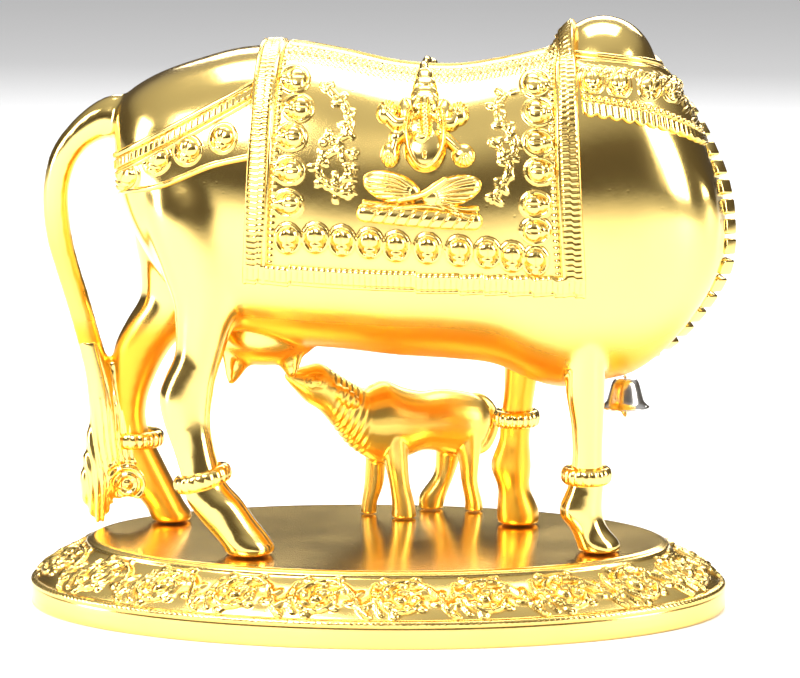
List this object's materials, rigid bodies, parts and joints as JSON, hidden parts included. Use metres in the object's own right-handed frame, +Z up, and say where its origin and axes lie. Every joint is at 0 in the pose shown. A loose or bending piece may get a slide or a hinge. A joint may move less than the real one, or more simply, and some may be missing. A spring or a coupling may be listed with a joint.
{
  "type": "cow and calf figurine",
  "caption": "Standing gilt cow in a figured saddle cloth suckling her calf, with a hanging neck bell, on an oval scroll-banded plinth.",
  "frame": {"origin": "middle of the plinth's flat underside", "axes": "+X the way the cow's chest points, +Y her left side, to which her head turns, +Z up"},
  "size_m": [0.1671, 0.098, 0.1401],
  "materials": {
    "polished_gilt": "polished pale gold plate over cast metal, with darker worked recesses",
    "satin_gilt": "satin deep gold plate over cast metal",
    "bright_nickel": "bright silvery plate, a little worn"
  },
  "bodies": {
    "root": {"plinth": "polished_gilt", "cow": "polished_gilt", "calf": "satin_gilt", "bell": "bright_nickel", "bell_clapper": "bright_nickel", "bell_ring": "bright_nickel"}
  },
  "joints": []
}
